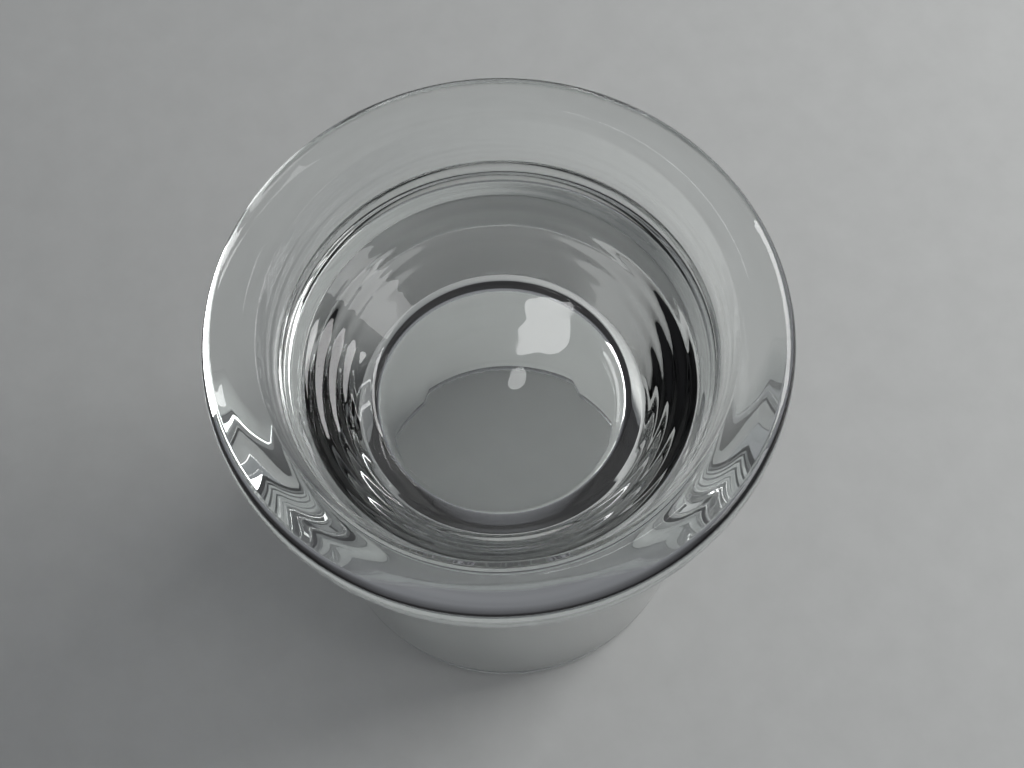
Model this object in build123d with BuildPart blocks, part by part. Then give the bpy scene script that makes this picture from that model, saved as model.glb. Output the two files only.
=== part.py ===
"""Flared clear glass cup on a hollow foot, one revolved solid, in millimetres, +Z up."""
import os

from build123d import *

os.makedirs("parts", exist_ok=True)

# Driving sizes of the outside.
rim_radius = 35.0
overall_height = 66.8
foot_radius = 26.0
foot_edge_round = 1.0

# The flared rim: a broad ledge with a nearly flat crown and a tight outer edge.
crown_rise = 0.7
crown_radius = 30.8
crown_round = 8.0
rim_edge_round = 1.7
rim_edge_height = 3.9
rim_under_round = 1.7
rim_under_rise = 3.5
neck_radius = 28.0
neck_round = 1.7

# The open bowl under the mouth: steep at first, then closing in on a flat round floor.
mouth_radius = 28.35
mouth_drop = 0.4
mouth_edge_round = 0.25
bowl_turn_radius = 25.6
bowl_turn_depth = 12.3
bowl_turn_round = 7.0
floor_radius = 16.1
floor_depth = 20.0
floor_corner_round = 1.75

# The hollow inside the foot: a shallow dome under the floor that slants down to the wall.
roof_thickness = 4.2
roof_flat_radius = 9.8
roof_flat_round = 7.0
roof_radius = 15.6
roof_drop = 0.5
roof_round = 3.5
shoulder_radius = 22.4
shoulder_drop = 5.2
shoulder_round = 3.5
foot_wall = 4.1
foot_inner_round = 1.0

# Tied heights and radii.
ledge_height = overall_height - crown_rise
rim_under_height = ledge_height - rim_edge_height
neck_height = rim_under_height - rim_under_rise
mouth_height = overall_height - mouth_drop
bowl_turn_height = overall_height - bowl_turn_depth
floor_height = overall_height - floor_depth
roof_height = floor_height - roof_thickness
roof_edge_height = roof_height - roof_drop
shoulder_height = roof_height - shoulder_drop
foot_inner_radius = foot_radius - foot_wall

# The outline, from the middle of the hollow's roof round the outside to the bowl's floor.
# Each corner has the radius that rounds it, and the two ends on the axis have none.
outline = [
    ((0, roof_height), 0),
    ((roof_flat_radius, roof_height), roof_flat_round),
    ((roof_radius, roof_edge_height), roof_round),
    ((shoulder_radius, shoulder_height), shoulder_round),
    ((foot_inner_radius, 0), foot_inner_round),
    ((foot_radius, 0), foot_edge_round),
    ((neck_radius, neck_height), neck_round),
    ((rim_radius, rim_under_height), rim_under_round),
    ((rim_radius, ledge_height), rim_edge_round),
    ((crown_radius, overall_height), crown_round),
    ((mouth_radius, mouth_height), mouth_edge_round),
    ((bowl_turn_radius, bowl_turn_height), bowl_turn_round),
    ((floor_radius, floor_height), floor_corner_round),
    ((0, floor_height), 0),
]

with BuildPart() as glass_cup:
    with BuildSketch(Plane.XZ) as half_section:
        with BuildLine():
            Polyline(*[corner for corner, radius in outline], close=True)
        make_face()
        for corner, radius in outline:
            if radius:
                fillet(half_section.vertices().sort_by_distance(corner)[0], radius)
    revolve(axis=Axis.Z)

glass_cup.part.label = "glass_cup"
export_step(glass_cup.part, "parts/glass_cup.step")
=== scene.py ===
"""A flared clear glass cup on its hollow foot, seen steeply from above on a pale sheet."""

import math

import bmesh
import bpy
from mathutils import Matrix, Vector


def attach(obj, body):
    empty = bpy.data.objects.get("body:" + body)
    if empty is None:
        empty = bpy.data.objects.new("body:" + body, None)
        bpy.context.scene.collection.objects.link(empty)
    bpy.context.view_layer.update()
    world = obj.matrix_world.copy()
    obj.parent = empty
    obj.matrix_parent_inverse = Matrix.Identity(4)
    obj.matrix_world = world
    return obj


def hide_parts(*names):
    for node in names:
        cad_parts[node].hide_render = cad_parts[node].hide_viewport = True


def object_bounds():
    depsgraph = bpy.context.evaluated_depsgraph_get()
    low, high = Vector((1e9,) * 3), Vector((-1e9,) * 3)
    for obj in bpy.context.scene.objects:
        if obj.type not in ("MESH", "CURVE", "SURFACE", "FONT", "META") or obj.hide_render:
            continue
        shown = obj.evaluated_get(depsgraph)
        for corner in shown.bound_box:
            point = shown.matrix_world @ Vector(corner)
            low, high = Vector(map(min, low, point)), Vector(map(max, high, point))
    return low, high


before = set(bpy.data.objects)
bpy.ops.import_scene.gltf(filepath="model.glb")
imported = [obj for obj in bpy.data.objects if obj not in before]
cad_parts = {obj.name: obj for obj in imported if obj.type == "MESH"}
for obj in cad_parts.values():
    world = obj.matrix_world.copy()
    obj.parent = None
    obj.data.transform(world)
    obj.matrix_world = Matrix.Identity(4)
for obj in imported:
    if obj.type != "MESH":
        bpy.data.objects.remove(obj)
cad_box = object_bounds()

# The glass cup. The real piece is one body of clear soda-lime glass, pressed in a mould and
# fire-polished, so it has no seam: a broad flared rim, a bowl that narrows to a flat round
# floor, and a tall hollow foot. Its outline is one line, turned round the upright axis.
MM = 0.001
rim_radius = cad_box[1].x
cup_height = cad_box[1].z
foot_radius = 26.0 * MM
foot_wall = 4.1 * MM
foot_edge_round = 1.0 * MM
foot_inner_round = 1.0 * MM
neck_radius = 28.0 * MM
neck_below_top = 8.0 * MM
neck_round = 1.7 * MM
rim_under_below_top = 4.5 * MM
rim_under_round = 1.7 * MM
ledge_below_top = 0.59 * MM
rim_edge_round = 1.7 * MM
crown_radius = 30.8 * MM
crown_corner_above_top = 0.1 * MM
crown_round = 8.0 * MM
mouth_radius = 28.35 * MM
mouth_below_top = 0.34 * MM
mouth_edge_round = 0.25 * MM
bowl_turn_radius = 25.6 * MM
bowl_turn_below_top = 12.2 * MM
bowl_turn_round = 7.0 * MM
floor_radius = 16.1 * MM
floor_below_top = 19.9 * MM
floor_corner_round = 1.75 * MM
roof_thickness = 4.2 * MM
roof_flat_radius = 9.8 * MM
roof_flat_round = 7.0 * MM
roof_radius = 15.6 * MM
roof_drop = 0.5 * MM
roof_round = 3.5 * MM
shoulder_radius = 22.4 * MM
shoulder_drop = 5.2 * MM
shoulder_round = 3.5 * MM
arc_steps = 8
turning_steps = 192

# Fine rings that the mould leaves on the bowl's wall, about 2 mm apart.
ring_spacing = 2.0 * MM
ring_depth = 0.05 * MM
points_per_ring = 8
rings_top = cup_height - 2 * MM

floor_height = cup_height - floor_below_top
rings_bottom = floor_height + 1.5 * MM
roof_height = floor_height - roof_thickness
roof_edge_height = roof_height - roof_drop

# The corners of the outline from the middle of the hollow's roof round the outside to the
# middle of the bowl's floor, each with the radius that rounds it.
outline = [
    ((0, roof_height), 0),
    ((roof_flat_radius, roof_height), roof_flat_round),
    ((roof_radius, roof_edge_height), roof_round),
    ((shoulder_radius, roof_edge_height - shoulder_drop), shoulder_round),
    ((foot_radius - foot_wall, 0), foot_inner_round),
    ((foot_radius, 0), foot_edge_round),
    ((neck_radius, cup_height - neck_below_top), neck_round),
    ((rim_radius, cup_height - rim_under_below_top), rim_under_round),
    ((rim_radius, cup_height - ledge_below_top), rim_edge_round),
    ((crown_radius, cup_height + crown_corner_above_top), crown_round),
    ((mouth_radius, cup_height - mouth_below_top), mouth_edge_round),
    ((bowl_turn_radius, cup_height - bowl_turn_below_top), bowl_turn_round),
    ((floor_radius, floor_height), floor_corner_round),
    ((0, floor_height), 0),
]


def rounded(corners):
    """The outline's points with every corner turned into an arc of its own radius."""
    points = [Vector(corners[0][0])]
    for before, (corner, radius), after in zip(corners, corners[1:], corners[2:]):
        here = Vector(corner)
        to_before = (Vector(before[0]) - here).normalized()
        to_after = (Vector(after[0]) - here).normalized()
        half_angle = to_before.angle(to_after) / 2
        centre = here + (to_before + to_after).normalized() * radius / math.sin(half_angle)
        start = (here + to_before * radius / math.tan(half_angle) - centre).normalized()
        end = (here + to_after * radius / math.tan(half_angle) - centre).normalized()
        for step in range(arc_steps + 1):
            points.append(centre + start.slerp(end, step / arc_steps) * radius)
    return points + [Vector(corners[-1][0])]


def ringed(points):
    """The same line with fine rings pressed into the bowl's wall, fading out at both ends."""
    line = [points[0]]
    for start, end in zip(points, points[1:]):
        middle = (start.y + end.y) / 2
        on_wall = start.x > floor_radius and end.y < start.y and rings_bottom < middle < rings_top
        spacing = ring_spacing / points_per_ring
        pieces = math.ceil((end - start).length / spacing) if on_wall else 1
        line += [start.lerp(end, piece / pieces) for piece in range(1, pieces + 1)]
    pressed = line[:2]
    along = (line[1] - line[0]).length
    for before, point in zip(line[1:], line[2:]):
        along += (point - before).length
        to_nearest_end = min(rings_top - point.y, point.y - rings_bottom)
        fade = min(1, to_nearest_end / ring_spacing)
        if point.y < before.y and point.x > floor_radius and fade > 0:
            wave = math.sin(math.tau * along / ring_spacing)
            point = point - Vector((ring_depth * fade * wave, 0))
        pressed.append(point)
    return pressed


section = ringed(rounded(outline))
form = bmesh.new()
verts = [form.verts.new((point.x, 0, point.y)) for point in section]
edges = [form.edges.new(pair) for pair in zip(verts, verts[1:])]
bmesh.ops.spin(
    form,
    geom=verts + edges,
    cent=(0, 0, 0),
    axis=(0, 0, 1),
    dvec=(0, 0, 0),
    angle=math.tau,
    steps=turning_steps,
    use_merge=True,
)
bmesh.ops.remove_doubles(form, verts=form.verts, dist=0.002 * MM)
bmesh.ops.recalc_face_normals(form, faces=form.faces)
for face in form.faces:
    face.smooth = True
cup_mesh = bpy.data.meshes.new("glass_cup_body")
form.to_mesh(cup_mesh)
form.free()
cup = bpy.data.objects.new("glass_cup_body", cup_mesh)
bpy.context.scene.collection.objects.link(cup)


def linear(hex_colour):
    """An sRGB hex colour as the linear RGBA that the shaders take."""
    channels = [int(hex_colour[i : i + 2], 16) / 255 for i in (1, 3, 5)]
    dark = [channel / 12.92 for channel in channels]
    bright = [((channel + 0.055) / 1.055) ** 2.4 for channel in channels]
    return [d if c <= 0.04045 else b for c, d, b in zip(channels, dark, bright)] + [1]


def add_node(tree, kind, settings=None, links=None):
    """A new node with its sockets or properties set, and other nodes' outputs linked in."""
    node = tree.nodes.new(kind)
    for name, value in (settings or {}).items():
        if hasattr(node, name):
            setattr(node, name, value)
        else:
            node.inputs[name].default_value = value
    for name, output in (links or {}).items():
        tree.links.new(output, node.inputs[name])
    return node


# Clear soda-lime glass, pressed and fire-polished: nearly colourless and mirror smooth, with
# shallow waves left by the mould, faint smudges of handling, and a foot ring that is dulled
# by the scuffs of standing on tables.
glass = bpy.data.materials.new("clear_soda_lime_glass")
glass.use_nodes = True
tree = glass.node_tree
tree.nodes.clear()
place = add_node(tree, "ShaderNodeTexCoord")
split = add_node(tree, "ShaderNodeSeparateXYZ", None, {"Vector": place.outputs["Object"]})
scuffs = add_node(
    tree,
    "ShaderNodeTexNoise",
    {"Scale": 1 / (0.5 * MM), "Detail": 4.0},
    {"Vector": place.outputs["Object"]},
)
scuffed_foot = add_node(
    tree,
    "ShaderNodeMapRange",
    {"From Min": 0.5 * MM, "From Max": 0.0, "To Min": 0.0, "To Max": 0.5},
    {"Value": split.outputs["Z"]},
)
scuff_haze = add_node(
    tree,
    "ShaderNodeMath",
    {"operation": "MULTIPLY"},
    {0: scuffs.outputs["Fac"], 1: scuffed_foot.outputs["Result"]},
)
smudges = add_node(
    tree,
    "ShaderNodeTexNoise",
    {"Scale": 1 / (14 * MM), "Detail": 5.0, "Roughness": 0.65, "Distortion": 0.8},
    {"Vector": place.outputs["Object"]},
)
smudge_haze = add_node(
    tree,
    "ShaderNodeMapRange",
    {"From Min": 0.52, "From Max": 0.8, "To Min": 0.0, "To Max": 0.05},
    {"Value": smudges.outputs["Fac"]},
)
haze = add_node(
    tree,
    "ShaderNodeMath",
    {"operation": "ADD"},
    {0: smudge_haze.outputs["Result"], 1: scuff_haze.outputs["Value"]},
)
waves = add_node(
    tree,
    "ShaderNodeTexNoise",
    {"Scale": 1 / (8 * MM), "Detail": 1.0, "Roughness": 0.4},
    {"Vector": place.outputs["Object"]},
)
mould_waves = add_node(
    tree,
    "ShaderNodeBump",
    {"Strength": 0.06, "Distance": 0.4 * MM},
    {"Height": waves.outputs["Fac"]},
)
body = add_node(
    tree,
    "ShaderNodeBsdfPrincipled",
    {"Base Color": linear("#FBFDFC"), "IOR": 1.52, "Transmission Weight": 1.0},
    {"Roughness": haze.outputs["Value"], "Normal": mould_waves.outputs["Normal"]},
)
add_node(tree, "ShaderNodeOutputMaterial", None, {"Surface": body.outputs["BSDF"]})
cup_mesh.materials.append(glass)
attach(cup, "root")
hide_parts("glass_cup")

# The sheet that the cup stands on: matt white drawing paper, far larger than the view, with
# the faint cloudiness of its fibres. It lies a hair below the foot, as paper gives.
sheet_half_width = 0.9
paper_gap = 0.12 * MM
form = bmesh.new()
bmesh.ops.create_grid(form, x_segments=1, y_segments=1, size=sheet_half_width)
bmesh.ops.translate(form, verts=form.verts, vec=(0, 0, -paper_gap))
sheet_mesh = bpy.data.meshes.new("paper_sheet")
form.to_mesh(sheet_mesh)
form.free()
sheet = bpy.data.objects.new("paper_sheet", sheet_mesh)
bpy.context.scene.collection.objects.link(sheet)
paper = bpy.data.materials.new("drawing_paper")
paper.use_nodes = True
tree = paper.node_tree
tree.nodes.clear()
place = add_node(tree, "ShaderNodeTexCoord")
fibres = add_node(
    tree,
    "ShaderNodeTexNoise",
    {"Scale": 1 / (6 * MM), "Detail": 6.0, "Roughness": 0.6},
    {"Vector": place.outputs["Object"]},
)
tone = add_node(tree, "ShaderNodeValToRGB", None, {"Fac": fibres.outputs["Fac"]})
tone.color_ramp.elements[0].color = linear("#BDBEBC")
tone.color_ramp.elements[1].color = linear("#C9CAC8")
matt = add_node(
    tree, "ShaderNodeBsdfPrincipled", {"Roughness": 0.9}, {"Base Color": tone.outputs["Color"]}
)
add_node(tree, "ShaderNodeOutputMaterial", None, {"Surface": matt.outputs["BSDF"]})
sheet_mesh.materials.append(paper)

# The light: a broad soft window high on the right with a smaller one beside it, and a small
# round lamp on the ceiling. The room's ceiling is pale and its walls near the horizon are
# dark, which draws the dark lines along the glass.
room = bpy.data.worlds.new("room")
bpy.context.scene.world = room
room.use_nodes = True
tree = room.node_tree
tree.nodes.clear()
place = add_node(tree, "ShaderNodeTexCoord")
split = add_node(tree, "ShaderNodeSeparateXYZ", None, {"Vector": place.outputs["Generated"]})
height = add_node(tree, "ShaderNodeValToRGB", None, {"Fac": split.outputs["Z"]})
bands = height.color_ramp
bands.elements[0].position = 0.0
bands.elements[0].color = linear("#232223")
bands.elements[1].position = 1.0
bands.elements[1].color = linear("#999B9E")
for position, colour in ((0.22, "#201F20"), (0.34, "#707175")):
    bands.elements.new(position).color = linear(colour)
glow = add_node(tree, "ShaderNodeBackground", None, {"Color": height.outputs["Color"]})
add_node(tree, "ShaderNodeOutputWorld", None, {"Surface": glow.outputs["Background"]})
for name, shape, width, depth, watts, direction, distance in (
    ("window", "RECTANGLE", 0.30, 0.22, 1.45, (0.72, 0.34, 0.60), 0.5),
    ("side_window", "RECTANGLE", 0.17, 0.17, 0.22, (0.76, -0.24, 0.60), 0.5),
    ("ceiling_lamp", "DISK", 0.028, 0.028, 0.011, (0.0085, 0.384, 0.923), 1.6),
):
    light = bpy.data.lights.new(name, "AREA")
    light.shape = shape
    light.size = width
    light.size_y = depth
    light.energy = watts
    light_object = bpy.data.objects.new(name, light)
    towards = Vector(direction).normalized()
    light_object.location = towards * distance
    light_object.rotation_euler = towards.to_track_quat("Z", "Y").to_euler()
    bpy.context.scene.collection.objects.link(light_object)
bpy.context.scene.view_settings.view_transform = "Standard"

# The camera: steeply above the near side, close enough that the rim looks clearly larger
# than the foot, and turned a little about its own axis. Distances are in rim radii.
camera = bpy.data.cameras.new("camera")
camera.sensor_width = 36
camera.lens = 59.8
camera.clip_start = 0.01
camera_object = bpy.data.objects.new("camera", camera)
elevation = math.radians(67.5)
roll = math.radians(-2.46)
rim_line = cup_height - 0.07 * rim_radius
stand = Vector((0.04, -2.35, 5.24)) * rim_radius + Vector((0, 0, rim_line))
camera_object.matrix_world = (
    Matrix.Translation(stand)
    @ Matrix.Rotation(math.pi / 2 - elevation, 4, "X")
    @ Matrix.Rotation(roll, 4, "Z")
)
bpy.context.scene.collection.objects.link(camera_object)
bpy.context.scene.camera = camera_object
